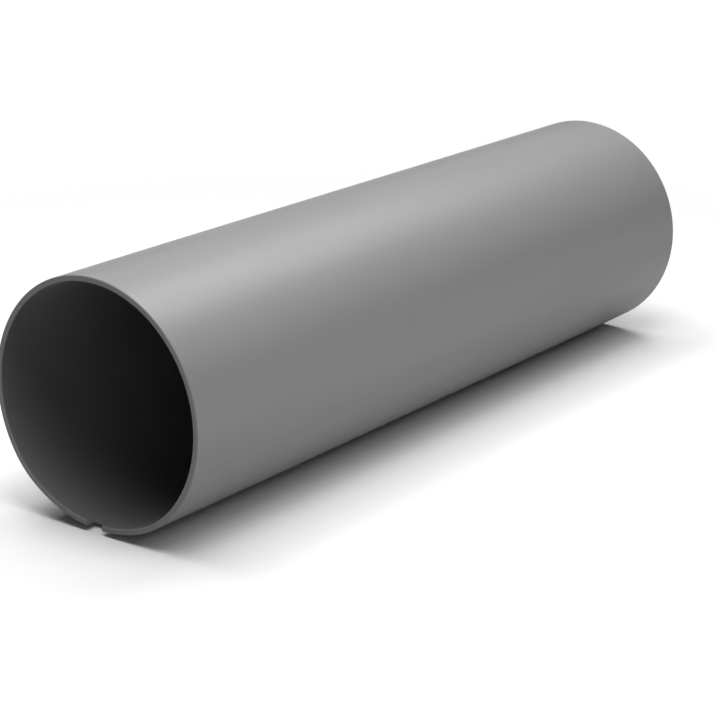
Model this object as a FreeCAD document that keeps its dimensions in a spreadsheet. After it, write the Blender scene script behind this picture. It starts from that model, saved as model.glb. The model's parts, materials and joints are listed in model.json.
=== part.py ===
"""Ventilation duct pipe: one plain length of grey plastic pipe with a keying notch in one rim.

The pipe lies on the floor along Y. Its notched end faces -Y, with the notch at the bottom of the rim,
and the wall is drawn in a little around the notch. The origin is on the floor, under the middle of
the pipe. Sizes are in millimetres and degrees.
"""

import FreeCAD
import Part
import Sketcher

import math
import os

DRIVING_SIZES = {
    "outer_diameter": 160.0,
    "wall": 3.6,
    "pipe_length": 560.0,
    "rim_chamfer": 0.4,
    "notch_width": 12.4,
    "notch_depth": 7.6,
    "notch_offset": 3.5,
    "toe_in": 0.2,
    "draw_in": 2.7,
    "draw_in_length": 100.0,
    "draw_in_half_angle": 50.0,
    "draw_in_turn": 8.0,
    "bend_share": 0.8,
}


def make_sheet(doc):
    """Puts each driving size in a cell of its own, with its name as the cell's alias."""
    sheet = doc.addObject("Spreadsheet::Sheet", "sizes")
    for row, (name, value) in enumerate(DRIVING_SIZES.items(), start=1):
        sheet.set(f"A{row}", name)
        sheet.set(f"B{row}", str(value))
        sheet.setAlias(f"B{row}", name)
    doc.recompute()
    return sheet


def point_on_arc(centre, radius, angle):
    """A point of an arc in the section's plane, at this angle from straight down."""
    return FreeCAD.Vector(
        centre.x + radius * math.sin(angle),
        0,
        centre.z - radius * math.cos(angle),
    )


def drawn_in_points(sizes, inset):
    """The ends and middles of the four tangent arcs of the drawn-in rim, from its lowest point on.

    A flat arc runs across the bottom, a tighter bend follows on each side, and a round arc, toed
    in a little as a cut pipe end is, closes the ring over the top. The inset gives the inner face,
    which has the same centres.
    """
    radius = sizes.outer_diameter / 2 - sizes.toe_in
    half_angle = math.radians(sizes.draw_in_half_angle)
    bend_radius = sizes.bend_share * radius
    bend_shift = radius - bend_radius
    bend_centre = point_on_arc(FreeCAD.Vector(), bend_shift, half_angle)
    lowered = bend_shift - sizes.draw_in
    rise = (bend_shift**2 - lowered**2) / (2 * (lowered - bend_shift * math.cos(half_angle)))
    flat_centre = FreeCAD.Vector(0, 0, rise)
    flat_radius = radius - sizes.draw_in + rise
    flat_end = math.atan2(bend_centre.x, rise - bend_centre.z)
    bend_middle = (flat_end + half_angle) / 2
    right_half = [
        point_on_arc(flat_centre, flat_radius - inset, flat_end),
        point_on_arc(bend_centre, bend_radius - inset, bend_middle),
        point_on_arc(FreeCAD.Vector(), radius - inset, half_angle),
    ]
    left_half = [FreeCAD.Vector(-p.x, 0, p.z) for p in reversed(right_half)]
    bottom = point_on_arc(flat_centre, flat_radius - inset, 0)
    top = point_on_arc(FreeCAD.Vector(), radius - inset, math.pi)
    return [bottom] + right_half + [top] + left_half


def ring_wire(points, y, sizes):
    """Joins the eight points of an outline into four arcs, turned to the notch, at this y."""
    turn = FreeCAD.Rotation(FreeCAD.Vector(0, 1, 0), sizes.draw_in_turn)
    axis_height = FreeCAD.Vector(0, 0, sizes.outer_diameter / 2)
    placed = [turn.multVec(FreeCAD.Vector(p.x, y, p.z)) + axis_height for p in points]
    bottom, flat_right, bend_right, side_right, top, side_left, bend_left, flat_left = placed
    arcs = [
        Part.Arc(flat_left, bottom, flat_right),
        Part.Arc(flat_right, bend_right, side_right),
        Part.Arc(side_right, top, side_left),
        Part.Arc(side_left, bend_left, flat_left),
    ]
    return Part.Wire([arc.toShape() for arc in arcs])


def tapered_plug(sizes, inset):
    """A solid that runs from the drawn-in outline at the rim to the full round one further in."""
    rim_points = drawn_in_points(sizes, inset)
    round_radius = sizes.outer_diameter / 2 - inset
    round_points = [FreeCAD.Vector(p).normalize() * round_radius for p in rim_points]
    rim_y = -sizes.pipe_length / 2
    rim_wire = ring_wire(rim_points, rim_y, sizes)
    round_wire = ring_wire(round_points, rim_y + sizes.draw_in_length, sizes)
    return Part.makeLoft([rim_wire, round_wire], True, True)


def edges_at(shape, y):
    """The numbers and shapes of the edges that lie flat in the section at this y."""
    return [
        (number, edge)
        for number, edge in enumerate(shape.Edges, start=1)
        if abs(edge.BoundBox.YMin - y) < 0.01 and abs(edge.BoundBox.YMax - y) < 0.01
    ]


def make_drawn_in_end(doc, sizes):
    """The end length whose wall is drawn in around the notch, with its rim chamfered."""
    wall = tapered_plug(sizes, 0).cut(tapered_plug(sizes, sizes.wall))
    rim = [edge for number, edge in edges_at(wall, -sizes.pipe_length / 2)]
    end = doc.addObject("Part::Feature", "drawn_in_end")
    end.Shape = wall.makeChamfer(sizes.rim_chamfer, rim)
    end.Placement = FreeCAD.Placement()
    return end


def new_sketch(body, name, role):
    """An empty sketch of the body, flat on the origin plane with this role."""
    plane = next(f for f in body.Origin.OriginFeatures if f.Role == role)
    sketch = body.newObject("Sketcher::SketchObject", name)
    sketch.AttachmentSupport = (plane, "")
    sketch.MapMode = "FlatFace"
    return sketch


def constrain(sketch, formula, *definition):
    """Adds one dimension to the sketch and ties its value to the size sheet."""
    index = sketch.addConstraint(Sketcher.Constraint(*definition))
    sketch.setExpression(f"Constraints[{index}]", formula)


def draw_notch(outline, sizes):
    """Draws the notch from below as a rectangle that runs out past the end of the pipe."""
    left = -sizes.notch_offset - sizes.notch_width / 2
    right = left + sizes.notch_width
    back = -sizes.pipe_length / 2 + sizes.notch_depth
    front = -sizes.pipe_length / 2 - sizes.notch_depth
    corners = [
        FreeCAD.Vector(left, front, 0),
        FreeCAD.Vector(right, front, 0),
        FreeCAD.Vector(right, back, 0),
        FreeCAD.Vector(left, back, 0),
    ]
    sides = [
        outline.addGeometry(Part.LineSegment(start, end))
        for start, end in zip(corners, corners[1:] + corners[:1])
    ]
    for side, following in zip(sides, sides[1:] + sides[:1]):
        outline.addConstraint(Sketcher.Constraint("Coincident", side, 2, following, 1))
    bottom, right_side, top, left_side = sides
    outline.addConstraint(Sketcher.Constraint("Horizontal", bottom))
    outline.addConstraint(Sketcher.Constraint("Horizontal", top))
    outline.addConstraint(Sketcher.Constraint("Vertical", right_side))
    outline.addConstraint(Sketcher.Constraint("Vertical", left_side))
    constrain(outline, "sizes.notch_width", "DistanceX", top, 2, top, 1, sizes.notch_width)
    constrain(outline, "-sizes.notch_offset - sizes.notch_width / 2", "DistanceX", bottom, 1, left)
    constrain(outline, "sizes.notch_depth - sizes.pipe_length / 2", "DistanceY", top, 1, back)
    constrain(outline, "-sizes.notch_depth - sizes.pipe_length / 2", "DistanceY", bottom, 1, front)


def ring_face_name(shape, sizes):
    """The name of the flat ring where the drawn-in end meets the round tube."""
    ring_y = sizes.draw_in_length - sizes.pipe_length / 2
    return next(
        f"Face{number}"
        for number, face in enumerate(shape.Faces, start=1)
        if abs(face.BoundBox.YMin - ring_y) < 0.01 and abs(face.BoundBox.YMax - ring_y) < 0.01
    )


def make_pipe(doc, sizes, end):
    """Builds the whole pipe: the drawn-in end, the round tube behind it, and the notch."""
    body = doc.addObject("PartDesign::Body", "duct_pipe")
    body.Label = "duct_pipe"
    body.Placement = FreeCAD.Placement()
    body.BaseFeature = end
    doc.recompute()

    base = body.Group[0]
    tube = body.newObject("PartDesign::Pad", "round_tube")
    tube.Profile = (base, [ring_face_name(base.Shape, sizes)])
    tube.Refine = False
    tube.setExpression("Length", "sizes.pipe_length - sizes.draw_in_length")
    doc.recompute()

    rim = [f"Edge{number}" for number, edge in edges_at(tube.Shape, sizes.pipe_length / 2)]
    plain_rim = body.newObject("PartDesign::Chamfer", "plain_rim_chamfer")
    plain_rim.Base = (tube, rim)
    plain_rim.Refine = False
    plain_rim.setExpression("Size", "sizes.rim_chamfer")
    doc.recompute()

    outline = new_sketch(body, "notch_outline", "XY_Plane")
    draw_notch(outline, sizes)
    doc.recompute()
    notch = body.newObject("PartDesign::Pocket", "rim_notch")
    notch.Profile = outline
    notch.Reversed = True
    notch.Refine = False
    notch.setExpression("Length", "sizes.draw_in + sizes.wall * 2")
    doc.recompute()
    return body


def check(doc, body):
    """Stops the build if any feature failed or the solid isn't one clean piece."""
    failed = [o.Name for o in doc.Objects if "Invalid" in o.State or "Error" in o.State]
    if failed:
        raise RuntimeError(f"features failed: {failed}")
    if not body.Shape.isValid() or len(body.Shape.Solids) != 1:
        raise RuntimeError("the pipe isn't one valid solid")


def main():
    doc = FreeCAD.newDocument("ventilation_duct_pipe")
    sizes = make_sheet(doc)
    end = make_drawn_in_end(doc, sizes)
    body = make_pipe(doc, sizes, end)
    doc.recompute()
    check(doc, body)
    os.makedirs("parts", exist_ok=True)
    body.Shape.exportStep("parts/duct_pipe.step")
    print("duct_pipe", body.Shape.BoundBox, "volume", round(body.Shape.Volume))


main()
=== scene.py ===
"""Ventilation duct pipe: the finished wall of one length of grey plastic pipe, and its studio."""

import json
import math

import bmesh
import bpy
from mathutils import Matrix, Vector


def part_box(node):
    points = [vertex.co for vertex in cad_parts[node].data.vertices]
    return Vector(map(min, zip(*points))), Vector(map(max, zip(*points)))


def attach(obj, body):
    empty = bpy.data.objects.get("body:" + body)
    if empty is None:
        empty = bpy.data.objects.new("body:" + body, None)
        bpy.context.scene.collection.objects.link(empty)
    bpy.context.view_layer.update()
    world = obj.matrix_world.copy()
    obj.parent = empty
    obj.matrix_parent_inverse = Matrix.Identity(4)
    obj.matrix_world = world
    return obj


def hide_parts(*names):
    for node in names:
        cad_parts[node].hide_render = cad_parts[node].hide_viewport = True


bl_info = {
    "name": "Ventilation duct pipe",
    "version": (1, 0, 0),
    "blender": (4, 5, 0),
    "location": "View3D > Sidebar > Duct pipe",
    "description": "Builds a plain grey plastic duct pipe with a keying notch, and a white studio round it",
    "category": "Add Mesh",
}

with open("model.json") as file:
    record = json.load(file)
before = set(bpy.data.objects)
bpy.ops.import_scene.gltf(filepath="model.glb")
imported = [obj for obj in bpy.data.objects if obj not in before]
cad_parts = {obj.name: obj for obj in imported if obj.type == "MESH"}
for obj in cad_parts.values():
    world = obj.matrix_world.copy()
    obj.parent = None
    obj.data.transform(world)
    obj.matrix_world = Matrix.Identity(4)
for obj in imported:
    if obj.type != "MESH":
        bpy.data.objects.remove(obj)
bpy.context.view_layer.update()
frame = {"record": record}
PIPE_LOW, PIPE_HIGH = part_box("duct_pipe")
MOUNTS = {mount["name"]: mount for mount in frame["record"]["mounts"]}
OUTER_RADIUS = MOUNTS["spigot"]["dims"]["r_mm"] / 1000
BORE_RADIUS = MOUNTS["duct_bore"]["dims"]["r_mm"] / 1000
MM = 0.001


class PipeSizes(bpy.types.PropertyGroup):
    """The sizes of the pipe's wall and of the notch in its rim."""

    outer_radius: bpy.props.FloatProperty(
        name="Outer radius",
        description="Radius of the outside of the round pipe",
        default=OUTER_RADIUS,
        unit="LENGTH",
    )
    bore_radius: bpy.props.FloatProperty(
        name="Bore radius",
        description="Radius of the inside of the round pipe",
        default=BORE_RADIUS,
        unit="LENGTH",
    )
    near_end: bpy.props.FloatProperty(
        name="Notched end",
        description="Place along the pipe of the end that has the notch",
        default=PIPE_LOW[1],
        unit="LENGTH",
    )
    far_end: bpy.props.FloatProperty(
        name="Plain end",
        description="Place along the pipe of the end without a notch",
        default=PIPE_HIGH[1],
        unit="LENGTH",
    )
    rim_chamfer: bpy.props.FloatProperty(
        name="Rim chamfer",
        description="Width of the small chamfer on the edges of both rims",
        default=0.4 * MM,
        unit="LENGTH",
    )
    notch_width: bpy.props.FloatProperty(
        name="Notch width",
        description="Width of the notch across the pipe",
        default=12.4 * MM,
        unit="LENGTH",
    )
    notch_depth: bpy.props.FloatProperty(
        name="Notch depth",
        description="How far the notch runs in from the rim",
        default=7.6 * MM,
        unit="LENGTH",
    )
    notch_offset: bpy.props.FloatProperty(
        name="Notch offset",
        description="Distance of the notch's middle from the lowest line of the pipe",
        default=3.5 * MM,
        unit="LENGTH",
    )
    toe_in: bpy.props.FloatProperty(
        name="Toe-in",
        description="How much smaller the radius is at the notched rim, all round",
        default=0.2 * MM,
        unit="LENGTH",
    )
    draw_in: bpy.props.FloatProperty(
        name="Draw-in",
        description="How far the wall is drawn in at the rim, around the notch",
        default=2.7 * MM,
        unit="LENGTH",
    )
    draw_in_length: bpy.props.FloatProperty(
        name="Draw-in length",
        description="Length over which the drawn-in wall runs back out to the round pipe",
        default=100 * MM,
        unit="LENGTH",
    )
    draw_in_half_angle: bpy.props.FloatProperty(
        name="Draw-in half angle",
        description="Half of the angle round the pipe that the drawn-in wall takes",
        default=math.radians(50),
        subtype="ANGLE",
    )
    draw_in_turn: bpy.props.FloatProperty(
        name="Draw-in turn",
        description="Angle from the lowest line of the pipe to the middle of the drawn-in wall",
        default=math.radians(8),
        subtype="ANGLE",
    )
    bend_share: bpy.props.FloatProperty(
        name="Bend share",
        description="Radius of the two bends beside the drawn-in wall, as a share of the outer radius",
        default=0.8,
        subtype="FACTOR",
    )


class PipeFinish(bpy.types.PropertyGroup):
    """The colours and surfaces of the extruded plastic."""

    outside_grey: bpy.props.FloatVectorProperty(
        name="Outside",
        description="Colour of the plastic on the outside of the pipe",
        default=(0.272, 0.272, 0.272),
        min=0,
        max=1,
        size=3,
        subtype="COLOR",
    )
    # Painted shade: the bore's grey is set darker than the outside plastic to stand in for the shade inside
    # the pipe.
    bore_painted_shade_grey: bpy.props.FloatVectorProperty(
        name="Bore",
        description="Colour of the darker, duller plastic inside the pipe",
        default=(0.145, 0.145, 0.145),
        min=0,
        max=1,
        size=3,
        subtype="COLOR",
    )
    cut_grey: bpy.props.FloatVectorProperty(
        name="Cut faces",
        description="Colour of the sawn plastic on the rims and in the notch",
        default=(0.24, 0.24, 0.24),
        min=0,
        max=1,
        size=3,
        subtype="COLOR",
    )
    outside_roughness: bpy.props.FloatProperty(
        name="Outside roughness",
        description="Roughness of the satin outside",
        default=0.42,
        min=0,
        max=1,
        subtype="FACTOR",
    )
    bore_roughness: bpy.props.FloatProperty(
        name="Bore roughness",
        description="Roughness of the bore",
        default=0.55,
        min=0,
        max=1,
        subtype="FACTOR",
    )
    cut_roughness: bpy.props.FloatProperty(
        name="Cut roughness",
        description="Roughness of the sawn faces",
        default=0.6,
        min=0,
        max=1,
        subtype="FACTOR",
    )
    line_depth: bpy.props.FloatProperty(
        name="Die line depth",
        description="Depth of the fine lines that the extrusion die leaves along the pipe",
        default=0.03 * MM,
        unit="LENGTH",
    )


class StudioSettings(bpy.types.PropertyGroup):
    """The floor, the lamps and the place of the camera."""

    floor_colour: bpy.props.FloatVectorProperty(
        name="Floor",
        description="Colour of the floor as it is seen",
        default=(0.95, 0.95, 0.95),
        min=0,
        max=1,
        size=3,
        subtype="COLOR",
    )
    floor_bounce: bpy.props.FloatVectorProperty(
        name="Floor bounce",
        description="Colour of the light that the floor throws back on the pipe",
        default=(0.415, 0.415, 0.415),
        min=0,
        max=1,
        size=3,
        subtype="COLOR",
    )
    lamp_distance: bpy.props.FloatProperty(
        name="Lamp distance",
        description="Distance of the lamps from the middle of the pipe",
        default=1.3,
        unit="LENGTH",
    )
    lamp_size: bpy.props.FloatProperty(
        name="Lamp size",
        description="Width of each square lamp",
        default=0.7,
        unit="LENGTH",
    )
    lamp_power: bpy.props.FloatProperty(
        name="Lamp power",
        description="Power of a lamp with a share of 1",
        default=8.42,
        unit="POWER",
    )
    camera_turn: bpy.props.FloatProperty(
        name="Camera turn",
        description="Angle between the pipe's axis and the way the camera looks, seen from above",
        default=math.radians(36.4),
        subtype="ANGLE",
    )
    camera_tilt: bpy.props.FloatProperty(
        name="Camera tilt",
        description="How far the camera looks down from level",
        default=math.radians(17.74),
        subtype="ANGLE",
    )
    camera_place: bpy.props.FloatVectorProperty(
        name="Camera place",
        description="Place of the camera from the middle of the notched end",
        default=(0.8128, -0.8424, 0.4024),
        size=3,
        subtype="TRANSLATION",
    )
    camera_lens: bpy.props.FloatProperty(
        name="Camera lens",
        description="Focal length of the camera",
        default=105.68,
        subtype="DISTANCE_CAMERA",
    )


# ---------------------------------------------------------------- pipe

# Slices of the wall across the notch and round the rest, and the row of corners at its end.
NOTCH_SLICES = 8
PLAIN_SLICES = 360
NOTCH_ROW = 3


def reach_of_circle(direction, centre_height, centre_side, radius):
    """How far a ray from the pipe's axis goes before it leaves this circle."""
    along = direction.x * centre_side + direction.y * centre_height
    offset = centre_side**2 + centre_height**2
    return along + math.sqrt(along**2 - offset + radius**2)


def rim_reach(sizes, angle, inset):
    """Distance from the axis to the drawn-in rim at this angle from the middle of the draw-in.

    The rim is four tangent arcs: a flat one at the bottom, a tighter bend on each side, and the
    round wall over the top. The inset gives the inner face, which has the same centres.
    """
    half_angle = sizes.draw_in_half_angle
    radius = sizes.outer_radius - sizes.toe_in
    bend_radius = sizes.bend_share * radius
    bend_shift = radius - bend_radius
    lowered = bend_shift - sizes.draw_in
    rise = (bend_shift**2 - lowered**2) / (2 * (lowered - bend_shift * math.cos(half_angle)))
    flat_radius = radius - sizes.draw_in + rise
    bend_side = bend_shift * math.sin(half_angle)
    bend_height = -bend_shift * math.cos(half_angle)
    flat_end = math.atan2(bend_side, rise - bend_height)
    joint_side = (flat_radius - inset) * math.sin(flat_end)
    joint_height = rise - (flat_radius - inset) * math.cos(flat_end)
    flat_half_angle = math.atan2(joint_side, -joint_height)
    swing = abs(math.remainder(angle, math.tau))
    direction = Vector((math.sin(swing), -math.cos(swing)))
    if swing > half_angle:
        return radius - inset
    if swing > flat_half_angle:
        return reach_of_circle(direction, bend_height, bend_side, bend_radius - inset)
    return reach_of_circle(direction, rise, 0, flat_radius - inset)


def wall_point(sizes, angle, y, inset):
    """A point of the wall at this angle from straight down, this far along the pipe."""
    full = sizes.outer_radius - inset
    from_rim = min(max((y - sizes.near_end) / sizes.draw_in_length, 0), 1)
    rim = rim_reach(sizes, angle + sizes.draw_in_turn, inset)
    reach = rim + (full - rim) * from_rim
    return Vector((reach * math.sin(angle), y, sizes.outer_radius - reach * math.cos(angle)))


def angle_at_side(sizes, side, y, inset):
    """The angle at which the wall's lower part is this far to the side of the pipe's middle."""
    angle = side / sizes.outer_radius
    for _ in range(8):
        angle += (side - wall_point(sizes, angle, y, inset).x) / (sizes.outer_radius - inset)
    return angle


def wall_stations(sizes):
    """The places along the pipe where the wall has a ring of corners, from the notched end on."""
    first = sizes.near_end + sizes.rim_chamfer
    notch_end = sizes.near_end + sizes.notch_depth
    taper_end = sizes.near_end + sizes.draw_in_length
    last = sizes.far_end - sizes.rim_chamfer
    stations = [first, (first + notch_end) / 2, notch_end]
    stations += [notch_end + (taper_end - notch_end) * step / 8 for step in range(1, 9)]
    stations += [taper_end + (last - taper_end) * step / 24 for step in range(1, 25)]
    return stations


def wall_profile(sizes, stations, outer_angle, inner_angle):
    """The corners of one slice through the wall, outside then inside, from the notched end on."""
    wall = sizes.outer_radius - sizes.bore_radius
    chamfer = sizes.rim_chamfer
    outside = [wall_point(sizes, outer_angle, y, 0) for y in stations]
    inside = [wall_point(sizes, inner_angle, y, wall) for y in stations]
    outside.insert(0, wall_point(sizes, outer_angle, sizes.near_end, chamfer))
    inside.insert(0, wall_point(sizes, inner_angle, sizes.near_end, wall - chamfer))
    outside.append(wall_point(sizes, outer_angle, sizes.far_end, chamfer))
    inside.append(wall_point(sizes, inner_angle, sizes.far_end, wall - chamfer))
    return outside, inside


def slice_angles(sizes):
    """Outer and inner angle of every slice, with slices right on the two sides of the notch."""
    wall = sizes.outer_radius - sizes.bore_radius
    sides = [-sizes.notch_offset + sign * sizes.notch_width / 2 for sign in (-1, 1)]
    outer = [angle_at_side(sizes, side, sizes.near_end, 0) for side in sides]
    inner = [angle_at_side(sizes, side, sizes.near_end, wall) for side in sides]
    outer_notch = outer[1] - outer[0]
    inner_notch = inner[1] - inner[0]
    angles = [
        (
            outer[0] + outer_notch * step / NOTCH_SLICES,
            inner[0] + inner_notch * step / NOTCH_SLICES,
        )
        for step in range(NOTCH_SLICES)
    ]
    outer_rest = math.tau - outer_notch
    inner_rest = math.tau - inner_notch
    angles += [
        (
            outer[1] + outer_rest * step / PLAIN_SLICES,
            inner[1] + inner_rest * step / PLAIN_SLICES,
        )
        for step in range(PLAIN_SLICES)
    ]
    return angles


def build_wall_mesh(sizes):
    """The whole pipe wall as one closed mesh, with the notch left open between two slices."""
    stations = wall_stations(sizes)
    mesh = bmesh.new()
    slices = []
    for outer_angle, inner_angle in slice_angles(sizes):
        outside, inside = wall_profile(sizes, stations, outer_angle, inner_angle)
        slices.append(([mesh.verts.new(p) for p in outside], [mesh.verts.new(p) for p in inside]))
    for index, (outside, inside) in enumerate(slices):
        next_outside, next_inside = slices[(index + 1) % len(slices)]
        first = NOTCH_ROW if index < NOTCH_SLICES else 0
        for row in range(first, len(outside) - 1):
            mesh.faces.new(
                (outside[row], next_outside[row], next_outside[row + 1], outside[row + 1])
            )
            mesh.faces.new((inside[row], inside[row + 1], next_inside[row + 1], next_inside[row]))
        mesh.faces.new((outside[first], inside[first], next_inside[first], next_outside[first]))
        mesh.faces.new((outside[-1], next_outside[-1], next_inside[-1], inside[-1]))
    for index in (0, NOTCH_SLICES):
        outside, inside = slices[index]
        side = outside[: NOTCH_ROW + 1] + inside[NOTCH_ROW::-1]
        mesh.faces.new(side if index == 0 else side[::-1])
    loose = [v for v in mesh.verts if not v.link_faces]
    bmesh.ops.delete(mesh, geom=loose, context="VERTS")
    bmesh.ops.recalc_face_normals(mesh, faces=mesh.faces)
    return mesh


def add_node(material, kind, **values):
    """A node of this kind, with these properties and input values."""
    node = material.node_tree.nodes.new(kind)
    for name, value in values.items():
        if name in node.inputs:
            node.inputs[name].default_value = value
        else:
            setattr(node, name, value)
    return node


def grain(material, scale, detail, stretch):
    """Noise laid over the solid itself, stretched by different amounts along X, Y and Z."""
    links = material.node_tree.links
    place = add_node(material, "ShaderNodeTexCoord")
    fit = add_node(material, "ShaderNodeMapping", Scale=stretch)
    noise = add_node(material, "ShaderNodeTexNoise", Scale=scale, Detail=detail)
    links.new(place.outputs["Object"], fit.inputs["Vector"])
    links.new(fit.outputs["Vector"], noise.inputs["Vector"])
    return noise.outputs["Fac"]


def spread(material, value, low, high):
    """The noise value spread over the range from low to high."""
    fit = add_node(material, "ShaderNodeMapRange")
    fit.inputs["From Min"].default_value = 0.3
    fit.inputs["From Max"].default_value = 0.7
    fit.inputs["To Min"].default_value = low
    fit.inputs["To Max"].default_value = high
    material.node_tree.links.new(value, fit.inputs["Value"])
    return fit.outputs["Result"]


def shaded(material, colour, shade):
    """The colour made lighter and darker by a shade round 1."""
    mix = add_node(material, "ShaderNodeMix", data_type="RGBA", blend_type="MULTIPLY")
    mix.inputs["Factor"].default_value = 1
    mix.inputs["A"].default_value = (*colour, 1)
    material.node_tree.links.new(shade, mix.inputs["B"])
    return mix.outputs["Result"]


def bump(material, height, depth, under=None):
    """A bump of this depth, laid over another one if there is one."""
    node = add_node(material, "ShaderNodeBump", Strength=1, Distance=depth)
    material.node_tree.links.new(height, node.inputs["Height"])
    if under:
        material.node_tree.links.new(under, node.inputs["Normal"])
    return node.outputs["Normal"]


def plastic(name, colour, roughness, mottle, lines, line_stretch, grain_depth):
    """Grey plastic with faint mottling, fine lines along one direction and a fine matt grain."""
    material = bpy.data.materials.new(name)
    material.use_nodes = True
    links = material.node_tree.links
    shader = material.node_tree.nodes["Principled BSDF"]
    shader.inputs["IOR"].default_value = 1.5
    clouds = grain(material, 14, 5, (1, 0.4, 1))
    links.new(
        shaded(material, colour, spread(material, clouds, 1 - mottle, 1 + mottle)),
        shader.inputs["Base Color"],
    )
    dull = grain(material, 60, 4, (1, 0.15, 1))
    links.new(
        spread(material, dull, roughness - 0.04, roughness + 0.04), shader.inputs["Roughness"]
    )
    fine_lines = bump(material, grain(material, 1, 3, line_stretch), lines)
    matt_grain = bump(material, grain(material, 2600, 2, (1, 1, 1)), grain_depth, fine_lines)
    links.new(matt_grain, shader.inputs["Normal"])
    return material


OUTSIDE, BORE, CUT = range(3)


def mark_faces(mesh, sizes):
    """Gives each face of the wall the finish of the outside, the bore (its colour painted darker as shade
    inside the pipe) or the cut faces.
    """
    axis_height = sizes.outer_radius
    for face in mesh.faces:
        middle = face.calc_center_median()
        outward = Vector((middle.x, 0, middle.z - axis_height)).normalized().dot(face.normal)
        if abs(outward) < 0.8:
            face.material_index = CUT
        elif outward > 0:
            face.material_index = OUTSIDE
        else:
            face.material_index = BORE


class DUCT_OT_pipe_wall(bpy.types.Operator):
    """Builds the pipe's wall with its rims, notch and plastic finish"""

    bl_idname = "duct.pipe_wall"
    bl_label = "Build pipe wall"

    def execute(self, context):
        sizes = context.scene.pipe_sizes
        finish = context.scene.pipe_finish
        built = build_wall_mesh(sizes)
        mark_faces(built, sizes)
        data = bpy.data.meshes.new("pipe_wall")
        built.to_mesh(data)
        built.free()
        data.shade_smooth()
        data.set_sharp_from_angle(angle=math.radians(30))
        wall = bpy.data.objects.new("pipe_wall", data)
        context.collection.objects.link(wall)
        along = (420, 3, 420)
        across = (1500, 1500, 60)
        depth = finish.line_depth
        for name, colour, roughness, mottle, lines, stretch in (
            ("satin_outside", finish.outside_grey, finish.outside_roughness, 0.012, depth, along),
            # Painted shade: the bore material's darker grey stands in for the shade inside the pipe.
            ("dull_bore_painted_shade", finish.bore_painted_shade_grey, finish.bore_roughness, 0.03, depth * 1.5, along),
            ("sawn_rim", finish.cut_grey, finish.cut_roughness, 0.03, depth * 2, across),
        ):
            grain_depth = 0.004 * MM
            data.materials.append(
                plastic(name, colour, roughness, mottle, lines, stretch, grain_depth)
            )
        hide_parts("duct_pipe")
        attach(wall, "root")
        return {"FINISHED"}


# ---------------------------------------------------------------- studio


# Each lamp has a name, a bearing from the plain end towards +X, a height angle and a share of power.
LAMPS = (
    ("key_lamp", 135, 65, 1.0),
    ("left_high_lamp", 270, 60, 0.87),
    ("back_high_lamp", 0, 60, 0.83),
    ("front_high_lamp", 225, 70, 0.5),
    ("side_lamp", 90, 45, 0.38),
    ("front_side_lamp", 140, 15, 0.15),
)


def hang_lamp(context, name, bearing, height, share):
    """Hangs a square soft lamp on a dome round the pipe's middle and turns it to shine there."""
    settings = context.scene.studio_settings
    bearing = math.radians(bearing)
    height = math.radians(height)
    direction = Vector(
        (
            math.sin(bearing) * math.cos(height),
            math.cos(bearing) * math.cos(height),
            math.sin(height),
        )
    )
    light = bpy.data.lights.new(name, "AREA")
    light.size = settings.lamp_size
    light.energy = settings.lamp_power * share
    lamp = bpy.data.objects.new(name, light)
    middle = Vector((0, 0, context.scene.pipe_sizes.outer_radius))
    lamp.location = middle + direction * settings.lamp_distance
    lamp.rotation_euler = (-direction).to_track_quat("-Z", "Y").to_euler()
    context.collection.objects.link(lamp)


# Metres from the origin over which the floor turns from shaded to plain white.
FADE_START = 0.35
FADE_END = 0.8


def floor_paint(settings):
    """White to the eye and in reflections, darker in the light it throws back."""
    paint = bpy.data.materials.new("white_floor")
    paint.use_nodes = True
    links = paint.node_tree.links
    shader = paint.node_tree.nodes["Principled BSDF"]
    shader.inputs["Roughness"].default_value = 1
    shader.inputs["Specular IOR Level"].default_value = 0
    ray = add_node(paint, "ShaderNodeLightPath")
    seen = add_node(paint, "ShaderNodeMath", operation="MAXIMUM")
    links.new(ray.outputs["Is Camera Ray"], seen.inputs[0])
    links.new(ray.outputs["Is Glossy Ray"], seen.inputs[1])
    colour = add_node(paint, "ShaderNodeMix", data_type="RGBA")
    colour.inputs["A"].default_value = (*settings.floor_bounce, 1)
    colour.inputs["B"].default_value = (*settings.floor_colour, 1)
    links.new(seen.outputs[0], colour.inputs["Factor"])
    links.new(colour.outputs["Result"], shader.inputs["Base Color"])

    place = add_node(paint, "ShaderNodeTexCoord")
    reach = add_node(paint, "ShaderNodeVectorMath", operation="LENGTH")
    links.new(place.outputs["Object"], reach.inputs[0])
    far = add_node(paint, "ShaderNodeMapRange", interpolation_type="SMOOTHSTEP")
    far.inputs["From Min"].default_value = FADE_START
    far.inputs["From Max"].default_value = FADE_END
    links.new(reach.outputs["Value"], far.inputs["Value"])
    glow = add_node(paint, "ShaderNodeMath", operation="MULTIPLY")
    links.new(far.outputs["Result"], glow.inputs[0])
    links.new(seen.outputs[0], glow.inputs[1])
    white = add_node(paint, "ShaderNodeEmission", Strength=1)
    blend = add_node(paint, "ShaderNodeMixShader")
    links.new(glow.outputs[0], blend.inputs["Fac"])
    links.new(shader.outputs["BSDF"], blend.inputs[1])
    links.new(white.outputs["Emission"], blend.inputs[2])
    output = paint.node_tree.nodes["Material Output"]
    links.new(blend.outputs["Shader"], output.inputs["Surface"])
    return paint


def lay_floor(context):
    """A wide flat floor under the pipe."""
    data = bpy.data.meshes.new("studio_floor")
    half = 8
    corners = [(-half, -half, 0), (half, -half, 0), (half, half, 0), (-half, half, 0)]
    data.from_pydata(corners, [], [(0, 1, 2, 3)])
    data.materials.append(floor_paint(context.scene.studio_settings))
    floor = bpy.data.objects.new("studio_floor", data)
    context.collection.objects.link(floor)


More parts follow.
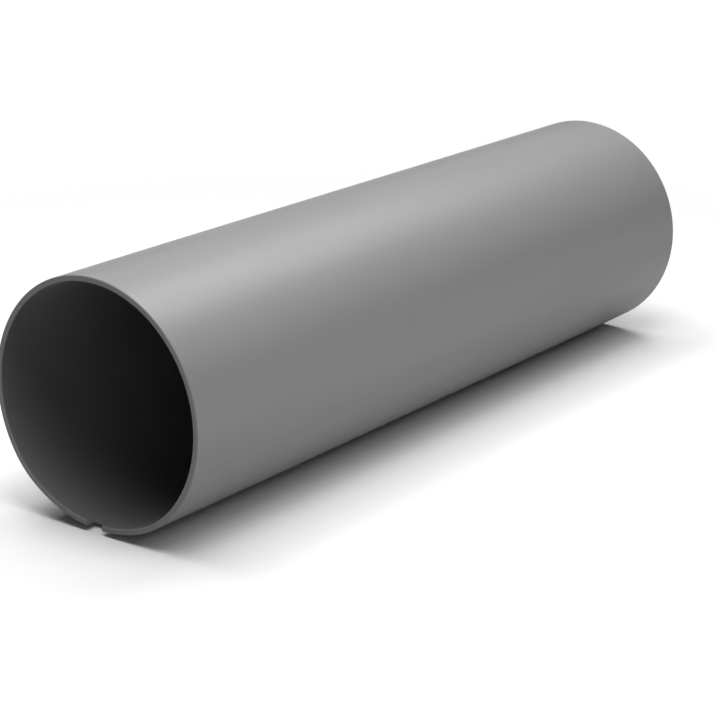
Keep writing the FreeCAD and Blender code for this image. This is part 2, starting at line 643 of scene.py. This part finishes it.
def dark_room(context):
    """A world that is white to the eye and gives the pipe no light of its own."""
    world = bpy.data.worlds.new("studio_room")
    world.use_nodes = True
    ray = world.node_tree.nodes.new("ShaderNodeLightPath")
    background = world.node_tree.nodes["Background"]
    background.inputs["Color"].default_value = (1, 1, 1, 1)
    world.node_tree.links.new(ray.outputs["Is Camera Ray"], background.inputs["Strength"])
    context.scene.world = world


def set_camera(context):
    """The camera that looks in at the notched end and along the pipe."""
    settings = context.scene.studio_settings
    sizes = context.scene.pipe_sizes
    camera = bpy.data.objects.new("camera", bpy.data.cameras.new("camera"))
    camera.data.lens = settings.camera_lens
    camera.data.sensor_width = 36
    end_middle = Vector((0, sizes.near_end, sizes.outer_radius))
    camera.location = end_middle + Vector(settings.camera_place)
    camera.rotation_euler = (math.pi / 2 - settings.camera_tilt, 0, settings.camera_turn)
    context.collection.objects.link(camera)
    context.scene.camera = camera


class DUCT_OT_studio(bpy.types.Operator):
    """Lays the white floor, hangs the lamps and sets the camera"""

    bl_idname = "duct.studio"
    bl_label = "Build studio"

    def execute(self, context):
        lay_floor(context)
        dark_room(context)
        for lamp in LAMPS:
            hang_lamp(context, *lamp)
        set_camera(context)
        context.scene.view_settings.view_transform = "Standard"
        return {"FINISHED"}


class DUCT_PT_panel(bpy.types.Panel):
    """Lists the pipe and its studio with their settings"""

    bl_label = "Duct pipe"
    bl_idname = "DUCT_PT_panel"
    bl_space_type = "VIEW_3D"
    bl_region_type = "UI"
    bl_category = "Duct pipe"

    def draw(self, context):
        groups = (
            (DUCT_OT_pipe_wall.bl_idname, context.scene.pipe_sizes),
            (None, context.scene.pipe_finish),
            (DUCT_OT_studio.bl_idname, context.scene.studio_settings),
        )
        for operator, settings in groups:
            box = self.layout.box()
            for name in settings.__annotations__:
                box.prop(settings, name)
            if operator:
                box.operator(operator)


CLASSES = (
    PipeSizes,
    PipeFinish,
    StudioSettings,
    DUCT_OT_pipe_wall,
    DUCT_OT_studio,
    DUCT_PT_panel,
)


def register():
    for cls in CLASSES:
        bpy.utils.register_class(cls)
    bpy.types.Scene.pipe_sizes = bpy.props.PointerProperty(type=PipeSizes)
    bpy.types.Scene.pipe_finish = bpy.props.PointerProperty(type=PipeFinish)
    bpy.types.Scene.studio_settings = bpy.props.PointerProperty(type=StudioSettings)


def unregister():
    del bpy.types.Scene.studio_settings
    del bpy.types.Scene.pipe_finish
    del bpy.types.Scene.pipe_sizes
    for cls in reversed(CLASSES):
        bpy.utils.unregister_class(cls)


def main():
    register()
    bpy.ops.duct.pipe_wall()
    bpy.ops.duct.studio()


if __name__ == "__main__":
    main()
